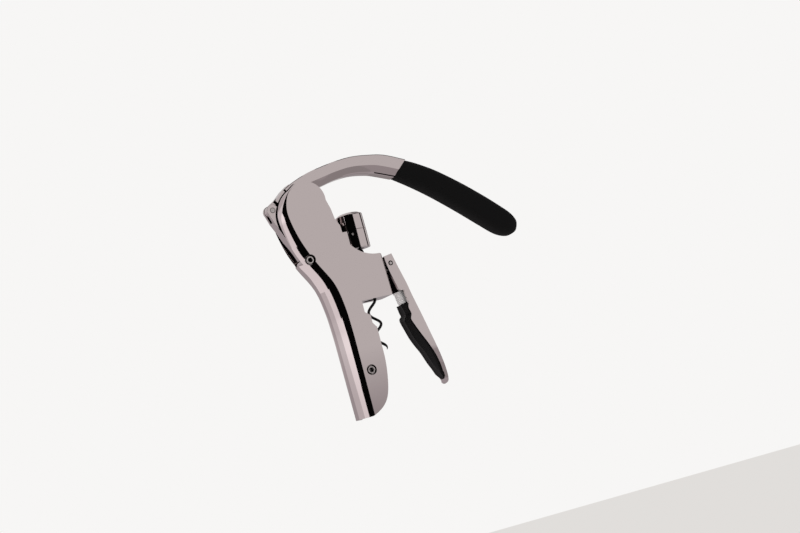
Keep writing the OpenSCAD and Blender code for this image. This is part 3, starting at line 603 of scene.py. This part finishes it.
# The upper and the lower line of the beam.
lever_top = [
    [-51, 101.8], [-41.4, 106.8], [-28.4, 111.4], [-14, 114.7], [1.6, 117.2], [13, 118], [25.2, 117.2],
    [41, 114.7], [59.6, 107.5],
]
lever_low = [
    [-46, 95], [-19.8, 98.7], [-5.7, 101.9], [9.9, 103.6], [25.7, 101.9], [33.6, 99.5], [46.3, 94.9],
]


def beam_cut(top, low, width):
    """One cut across the beam: crisp upper edges, flat sides, a crease and two slanted lower flanks."""
    half_cut = [
        [-0.97, 0], [-1, 0.03], [-1, 0.3], [-1, 0.58], [-0.9, 0.76], [-0.8, 0.93], [-0.72, 0.98], [-0.6, 1]]
    cut = []
    for side_share, depth in half_cut + [[-s, d] for s, d in reversed(half_cut)]:
        cut.append([
            top[0] + (low[0] - top[0]) * depth, side_share * width / 2, top[1] + (low[1] - top[1]) * depth])
    return cut


rings = []
for i in range(beam_steps + 1):
    x_top = lever_top[0][0] + (lever_top[-1][0] - lever_top[0][0]) * i / beam_steps
    x_low = lever_low[0][0] + (lever_low[-1][0] - lever_low[0][0]) * i / beam_steps
    # The smooth upper line lies 0.06 mm low, which keeps it inside the box of the solid.
    top = [x_top, along(lever_top, x_top) - 0.06]
    rings.append(beam_cut(top, [x_low, along(lever_low, x_low)], beam_width))
lever = loft("lever", rings)
# The tang goes on into the grip and narrows.
rings = []
for t in (-0.1, 1):
    rings.append(beam_cut((56.4 + 44 * t, 104.4 - 29.6 * t), (49.4 + 44 * t, 97.8 - 29.6 * t), 10 - 2 * t))
carve(lever, loft("tool", rings), "UNION")
tail_lug = [[-46, 105.2], [-52, 101.4], [-60.6, 94.2], [-57.4, 90.4], [-52, 91.4], [-44, 96], [-40, 100]]
carve(lever, plate("tool", tail_lug, -5, 5), "UNION")
carve(lever, bar("tool", *tail, 4.6, -2, 2), "UNION")
tail_tongue = [[-67.4, 90.8], [-58, 96.4], [-52, 94], [-62.4, 83.1]]
carve(lever, plate("tool", tail_tongue, -2, 2), "UNION")
carve(lever, bar("tool", *crosshead, 5.4, -3, 3), "UNION")
drop_plate = [
    [-41.3, 61], [-44.5, 78], [-51, 94], [-46, 102], [-26, 106], [-24.5, 96], [-28, 80], [-30.7, 61],
]
carve(lever, plate("tool", drop_plate, -3, 3), "UNION")
carve(lever, bar("tool", *tail, 2.05, -10, 10))
carve(lever, bar("tool", *crosshead, 2.55, -10, 10))
plate_window = [[-42, 80], [-45.5, 91], [-30, 93], [-32, 80], [-36, 70]]
carve(lever, plate("tool", plate_window, -10, 10))
ease_edges(lever, 0.35, 12)
dress(lever, "lever", "bright_casting", plating, "lever_casting")

# Grip
# A black soft-touch sleeve, moulded over the tang of the lever. It is oval in section with a matt skin, gets
# wider from 16 to 20 mm and ends in a blunt tip.
grip_steps = 60
tip_steps = 12
section_steps = 48
# The tip takes up the last of the sleeve's length.
tip_start = 0.94
tip_share = 0.06
# The upper and the lower line of the sleeve: share of its length, front-to-back and up.
grip_top = [
    [0, 60, 107.9], [0.16, 70.3, 103.1], [0.36, 85, 94.6], [0.58, 103.7, 81.3], [0.78, 122, 66.5],
    [0.9, 134, 55.8], [0.965, 143, 46.8], [1, 148, 40],
]
grip_low = [
    [0, 46.4, 94.8], [0.16, 62, 84.9], [0.36, 78.6, 73.1], [0.58, 99, 56.4], [0.78, 116.4, 41.3],
    [0.9, 128.2, 31.8], [0.965, 138, 28.4], [1, 144, 29.4],
]


def grip_point(stations, share):
    """The point of a line of the sleeve at a share of its length."""
    return [along([[s[0], s[k]] for s in stations], share) for k in (1, 2)]


rings = []
for i in range(grip_steps + tip_steps + 1):
    share = i / grip_steps * tip_start
    close = 1
    if i > grip_steps:
        tip_turn = math.radians((i - grip_steps) * 90 / tip_steps)
        share = tip_start + tip_share * math.sin(tip_turn)
        close = max(0.04, math.cos(tip_turn) ** 0.55)
    top = grip_point(grip_top, share)
    low = grip_point(grip_low, share)
    half = (16 + 4 * min(1, share * 3)) / 2 * close
    ring = []
    for k in range(section_steps):
        a = 2 * math.pi * (k + 0.5) / section_steps
        across = math.copysign(abs(math.cos(a)) ** 0.75, math.cos(a))
        up = math.copysign(abs(math.sin(a)) ** 0.75, math.sin(a)) * (0.55 + 0.45 * close)
        ring.append([
            (top[0] + low[0]) / 2 + (top[0] - low[0]) / 2 * up, across * half,
            (top[1] + low[1]) / 2 + (top[1] - low[1]) / 2 * up])
    rings.append(ring)
grip = loft("grip", rings)
ease_edges(grip, 0.3, 50)
soft_touch, tree, output = new_material("black soft touch grip")
place = add_node(tree, "ShaderNodeTexCoord")
# A soft black that gives back little light, with a fine moulded texture of about 0.4 mm.
grain = add_node(tree, "ShaderNodeTexNoise", {"Scale": 2400, "Detail": 2}, {
    "Vector": place.outputs["Object"]})
relief = add_node(tree, "ShaderNodeBump", {"Strength": 0.25, "Distance": 0.0001}, {
    "Height": grain.outputs["Fac"]})
shader = add_node(tree, "ShaderNodeBsdfPrincipled", {
    "Base Color": paint("0d0d0e"), "Roughness": 0.75, "IOR": 1.35}, {"Normal": relief.outputs["Normal"]})
tree.links.new(shader.outputs[0], output.inputs["Surface"])
dress(grip, "lever", "grip_black", soft_touch, "lever_grip")

# Carriage and round head
# The carriage slides up and down between the cheeks. Its round lower half and the screwed cap above the seam
# are turned and plated; two arm plates reach back to the crosshead pin.
head_sides = 360
# Place of the lock screw, as front-to-back and up.
lock_screw = (-4.5, 54.7)
shell_profile = [[9.6, 42.97], [10.9, 42.97], [11.44, 43.5], [11.44, 57.97], [9.6, 57.97]]
shell = turned("tool", shell_profile, head_sides, bored=True)
# The shell is cut off at the back, where the arms start, and has a hole for the lock screw.
carve(shell, block("tool", (-14, -13, 40), (-6.2, 13, 60)))
carve(shell, bar("tool", *lock_screw, 1.1, -20, 0))
carriage = outwards(copied("carriage_casting"))
carve(carriage, shell, "UNION")
ease_edges(carriage, 0.2)
dress(carriage, "carriage", "bright_casting", plating, "carriage_casting")
# The cap from the ceiling of its bore down the spigot, out over the seam, up the side and over the dome.
cap_profile = [
    [0, 64.4], [7.6, 64.4], [7.6, 52.2], [9.3, 52.2], [9.3, 58.05], [11, 58.05], [11.4, 58.4], [11.15, 70.3],
]
cap_profile += bend(10.15, 70.6, 1, 5, 80, 8)
for a in range(12, 90, 6):
    cap_profile.append([9.6 * math.cos(math.radians(a)), 71.6 + 2.2 * math.sin(math.radians(a))])
cap_profile.append([0, 73.8])
cap = turned("head_top", cap_profile, head_sides)
shade_by_angle(cap, 30)
dress(cap, "carriage", "bright_casting", plating, "head_cap")

# Bearings
# A bronze sleeve on the fulcrum bolt and two bronze washers under and over the flange of the spindle. They
# are turned and left plain: a dull yellow brown, with marks drawn at about 1.4 mm so that they show.
bronze, tree, output = new_material("bearing bronze")
place = add_node(tree, "ShaderNodeTexCoord")
turning = add_node(tree, "ShaderNodeTexNoise", {"Scale": 700, "Detail": 2}, {
    "Vector": place.outputs["Object"]})
softness = add_node(tree, "ShaderNodeMapRange", {
    "From Min": 0.3, "From Max": 0.7, "To Min": 0.25, "To Max": 0.4}, {"Value": turning.outputs["Fac"]})
shader = add_node(tree, "ShaderNodeBsdfPrincipled", {
    "Base Color": paint("b08d57"), "Metallic": 1}, {"Roughness": softness.outputs["Result"]})
tree.links.new(shader.outputs[0], output.inputs["Surface"])
dress(remade("fulcrum_sleeve", 0.1), "body", "bronze", bronze, "fulcrum_sleeve")
dress(remade("thrust_washers", 0.1), "carriage", "bronze", bronze, "thrust_washers")

# Worm
# Right-handed spring steel wire of 2.25 mm, ground to a point and coated black so that it slides in the cork.
# It is fixed in the spindle, which turns in the carriage.
lead = 20
turn_steps = 40
worm_tip = -42
worm_top = 62
coil_radius = 3.825
wire_radius = 1.125
# A sprayed and baked coating: black with a low sheen and a speckle of about 0.7 mm.
coating, tree, output = new_material("black slip coating")
place = add_node(tree, "ShaderNodeTexCoord")
speckle = add_node(tree, "ShaderNodeTexNoise", {"Scale": 1500, "Detail": 3}, {
    "Vector": place.outputs["Object"]})
softness = add_node(tree, "ShaderNodeMapRange", {
    "From Min": 0.3, "From Max": 0.7, "To Min": 0.28, "To Max": 0.42}, {"Value": speckle.outputs["Fac"]})
shader = add_node(tree, "ShaderNodeBsdfPrincipled", {
    "Base Color": paint("141315"), "IOR": 1.5}, {"Roughness": softness.outputs["Result"]})
tree.links.new(shader.outputs[0], output.inputs["Surface"])


def wire(name, points, radii, sides=16):
    """A round wire along points, with a radius at each."""
    rings = []
    for i, point in enumerate(points):
        run = (Vector(points[min(i + 1, len(points) - 1)]) - Vector(points[max(i - 1, 0)])).normalized()
        over = run.cross(Vector((0, 1, 0)) if abs(run.y) < 0.9 else Vector((1, 0, 0))).normalized()
        beside = run.cross(over)
        ring = []
        for k in range(sides):
            a = 2 * math.pi * k / sides
            ring.append(list(Vector(point) + radii[i] * (math.cos(a) * over + math.sin(a) * beside)))
        rings.append(ring)
    return loft(name, rings)


heights = levels(worm_tip, worm_top, lead / turn_steps)
coil = []
for z in heights:
    a = math.radians(339.8 + 360 / lead * z)
    coil.append([coil_radius * math.cos(a), coil_radius * math.sin(a), z])
# The lowest 5 mm taper to the point.
worm = wire("worm_coated", coil, [wire_radius * min(1, 0.06 + (z - worm_tip) / 5) ** 0.7 for z in heights])
ease_edges(worm, 0, 60)
dress(worm, "spindle", "coated_black", coating, "worm")
dress(remade("worm_spindle", 0.2), "spindle", "steel", steel, "worm_spindle")

# Worm guide
# A black acetal plug in the collar, moulded with a twisted tunnel through which the worm has to turn. A steel
# ring keeps it in. Its skin is smooth, black and a little glossy, with flow marks of about 3 mm.
acetal, tree, output = new_material("black acetal")
place = add_node(tree, "ShaderNodeTexCoord")
flow = add_node(tree, "ShaderNodeTexNoise", {"Scale": 300, "Detail": 2}, {"Vector": place.outputs["Object"]})
softness = add_node(tree, "ShaderNodeMapRange", {
    "From Min": 0.3, "From Max": 0.7, "To Min": 0.3, "To Max": 0.4}, {"Value": flow.outputs["Fac"]})
shader = add_node(tree, "ShaderNodeBsdfPrincipled", {
    "Base Color": paint("1d1d1e"), "IOR": 1.48}, {"Roughness": softness.outputs["Result"]})
tree.links.new(shader.outputs[0], output.inputs["Surface"])
dress(remade("worm_guide", 0.2, 40), "body", "black_plastic", acetal, "worm_guide")

# Clamp
# A plated die casting on a hinge pin in front of the collar, with a channel behind its front web, a round
# post under its arm and a torsion spring round the pin.
clamp_half = 10
channel_half = 7.2
web = 2.8
foot_rise = 32
# Lines of the clamp from low to high, measured from its hinge.
pad_line = [
    [-106.4, 23.45], [-99.7, 22.85], [-90.7, 21.45], [-79.7, 18.45], [-70.4, 14.75], [-59.4, 9.65],
    [-52.1, 6.55], [-47.7, 5.15], [-44, 6.65], [-38.4, 5.55], [-33.9, 6.85],
]
clamp_front = [
    [-104.6, 26.05], [-102.5, 26.65], [-92.5, 25.05], [-78.5, 22.25], [-62.5, 18.85], [-46.4, 15.35],
    [-27.8, 11.05], [-19.5, 9.45], [-9.7, 6.95], [-1.4, 4.85], [7.3, 2.85],
]
clamp_rear = [[-21.6, 0.85], [-18.3, 0.05], [-11.7, -1.55], [-5.1, -3.05], [3.1, -4.25], [5.9, -4.35]]


def edge(stations, low, high, steps, shift=0):
    """Points on a line of the clamp between two heights, measured from the hinge."""
    heights = [low + (high - low) * i / steps for i in range(steps + 1)]
    return [[along(stations, z) + shift, z] for z in heights]


def clamp_plate(outline, near, far):
    """An outline measured from the hinge, made solid between two side positions."""
    return plate("clamp_part", [[hinge[0] + x, hinge[1] + z] for x, z in outline], near, far)


def round_foot(piece, half, low):
    """Rounds the foot of a piece of the clamp to a long half oval, seen from the front."""
    shape = []
    for i in range(37):
        a = math.radians(5 * i)
        shape.append([-half * math.cos(a), hinge[1] + low + foot_rise * (1 - math.sin(a))])
    shape += [[half, 60], [-half, 60]]
    return carve(piece, loft("tool", [[[x, y, z] for y, z in shape] for x in (-20, 80)]), "INTERSECT")


outline = [[24, -105.3]] + edge(pad_line, -104.4, -33.9, 50) + [[5.65, -23.8], [1.85, -23.2]]
outline += edge(clamp_rear, -21.6, 5, 16) + [[-4.4, 6.3], [2.8, 7.6]] + edge(clamp_front, 6.8, -102.5, 60)
outline += bend(24, -102.6, 2.7, 0, -90, 12)[:-1]
clamp = clamp_plate(outline, -clamp_half, clamp_half)
channel = edge(clamp_front, -102.7, 10.6, 60, -web) + [[-26, 10.6], [-26, -102.7]]
carve(clamp, clamp_plate(channel, -channel_half, channel_half))
round_foot(clamp, clamp_half, -105.3)
# Room between the cheeks for the ears of the body, and the hole for the pin.
carve(clamp, block("tool", (18.55, -channel_half, 20), (30.55, channel_half, 30.2)))
carve(clamp, bar("tool", *hinge, 2.05, -20, 20))
ease_edges(clamp, 0.45)
dress(clamp, "clamp", "bright_casting", plating, "clamp_casting")

# The walls inside the channel aren't polished. They keep the dull skin of the mould, cloudy at about 2.5 mm,
# down to where the clamp narrows at its foot. Their near-black colour is partly the skin's own dark tone and
# partly painted shade for the shaded channel.
dark_channel_half = 0.0073
dark_channel_low = -0.069
dull_skin_painted_shade, tree, output = new_material("dull mould skin with painted shade")
place = add_node(tree, "ShaderNodeTexCoord")
cloud = add_node(tree, "ShaderNodeTexNoise", {"Scale": 400, "Detail": 3}, {"Vector": place.outputs["Object"]})
softness = add_node(tree, "ShaderNodeMapRange", {
    "From Min": 0.3, "From Max": 0.7, "To Min": 0.4, "To Max": 0.55}, {"Value": cloud.outputs["Fac"]})
shader = add_node(tree, "ShaderNodeBsdfPrincipled", {
    "Base Color": paint("2a2627"), "Metallic": 0.6}, {"Roughness": softness.outputs["Result"]})
tree.links.new(shader.outputs[0], output.inputs["Surface"])
clamp.data.materials.append(dull_skin_painted_shade)
# The walls inside the channel take the second material: dull skin with painted shade.
for face in clamp.data.polygons:
    inside = abs(face.center.y) < dark_channel_half and face.center.z > dark_channel_low
    if inside and (abs(face.normal.y) > 0.7 or face.normal.x < -0.3):
        face.material_index = 1

# Clamp post
# A round post with a collar on top and a foot on the web of the clamp, with a small cross hole. It is cast in
# zinc and blasted.
behind_web = 2.95
post_lean = math.radians(-10)
post_hole = (hinge[0] + 3.6, hinge[1] - 31.3)
# Blasting leaves a light matt grey that scatters light to all sides, so it is drawn as a pale surface without
# a metal's mirror. Its near-white colour is lighter than that grey: painted light that makes up for the shade
# in the channel. Its clouds are about 2 mm.
blasted, tree, output = new_material("blasted zinc")
place = add_node(tree, "ShaderNodeTexCoord")
cloud = add_node(tree, "ShaderNodeTexNoise", {"Scale": 500, "Detail": 2}, {"Vector": place.outputs["Object"]})
softness = add_node(tree, "ShaderNodeMapRange", {
    "From Min": 0.3, "From Max": 0.7, "To Min": 0.3, "To Max": 0.42}, {"Value": cloud.outputs["Fac"]})
shader = add_node(tree, "ShaderNodeBsdfPrincipled", {
    "Base Color": paint("f8f5f6")}, {"Roughness": softness.outputs["Result"]})
tree.links.new(shader.outputs[0], output.inputs["Surface"])
# The post is turned upright at the origin, then leaned over and moved to its place.
post_place = Matrix.Translation((0.02655, 0, -0.0036)) @ Matrix.Rotation(post_lean, 4, "Y")
post = turned("clamp_post", [
    [0, -5], [3.6, -5], [3.9, -4.7], [3.9, 4.2], [4.3, 4.35], [4.3, 5.4], [4.1, 5.6], [0, 5.6]])
foot = block("tool", (0, -3.4, -4.6), (8, 3.4, 3.8))
for part in (post, foot):
    part.data.transform(post_place)
carve(post, foot, "UNION")
# The post ends just behind the web.
web_back = edge(clamp_front, -42, -14, 6, -behind_web)
carve(post, clamp_plate(web_back + [[20, -14], [20, -42]], -20, 20))
carve(post, bar("tool", *post_hole, 1.1, -20, -2.6))
dress(shade_by_angle(post, 30), "clamp", "bright_casting", blasted, "clamp_jaw")

# Front pad
# Black elastomer in the channel of the clamp: a lip on the cheeks, slanted flanks and a nose moulded to the
# neck, its ring step and the flare below.
clamp_open = math.radians(11)
pad_low = -102.3
pad_height = 67.5
pad_steps = 40
lip_half = 9.7
stem_half = 7
nose_half = 3.2
# Radius of the neck space below the ring step, by height with the clamp closed.
pad_radii = [
    [-90, 27.8], [-84, 26.6], [-79.5, 25.7], [-76.6, 24.9], [-70.7, 23.4], [-61.8, 21], [-51.9, 19.3],
    [-46.4, 17.8], [-41.9, 16.6], [-36.4, 15.5], [-30, 14.9], [-25, 14.4], [-22, 14.2],
]


def neck_radius(z):
    """Radius of the neck space at a height, wider above the ring step."""
    return 17.2 if z > -18.4 else along(pad_radii, min(z, -22))


def nose_corner(z, y):
    """Where the neck space meets a side position at a height, both measured on the open clamp."""
    reach = 0
    for guess in range(12):
        height = (z - reach * math.sin(clamp_open)) / math.cos(clamp_open)
        reach = math.sqrt(neck_radius(height + hinge[1]) ** 2 - y * y) - hinge[0]
    return reach * math.cos(clamp_open) - height * math.sin(clamp_open)


rings = []
for i in range(pad_steps + 1):
    z = pad_low + pad_height * i / pad_steps
    lip = along(pad_line, z)
    front = along(clamp_front, z) - behind_web
    corner = min(nose_corner(z, 4.5), lip - 2.2)
    middle = lip - 1 + (corner - lip + 1) * 1.25
    half_ring = [
        [front, stem_half], [lip - 0.15, stem_half], [lip - 0.15, lip_half], [lip - 1, lip_half],
        [middle, nose_half]]
    ring = half_ring + [[x, -y] for x, y in reversed(half_ring)]
    rings.append([[hinge[0] + x, y, hinge[1] + z] for x, y in ring])
pad = loft("front_pad", rings)
# The neck space is cut out of the pad as it lies when the clamp is closed.
space = [[0, 2], [17, 2], [17.5, -17.4], [16.6, -19.4]]
space += [[along(pad_radii, z), z] for z in levels(-88, -22, 2)[::-1]] + [[0, -88]]
neck = turned("tool", space, sides=128)
pivot = Matrix.Translation((0.001 * hinge[0], 0, 0.001 * hinge[1]))
neck.data.transform(pivot @ Matrix.Rotation(-clamp_open, 4, "Y") @ pivot.inverted())
carve(pad, neck)
round_foot(pad, 9, pad_low + 0.1)
ease_edges(pad, 0.4)
dress(pad, "clamp", "black_pad", rubber, "clamp_pad")
dress(remade("clamp_spring", 0, 60), "clamp", "steel", steel, "clamp_spring")
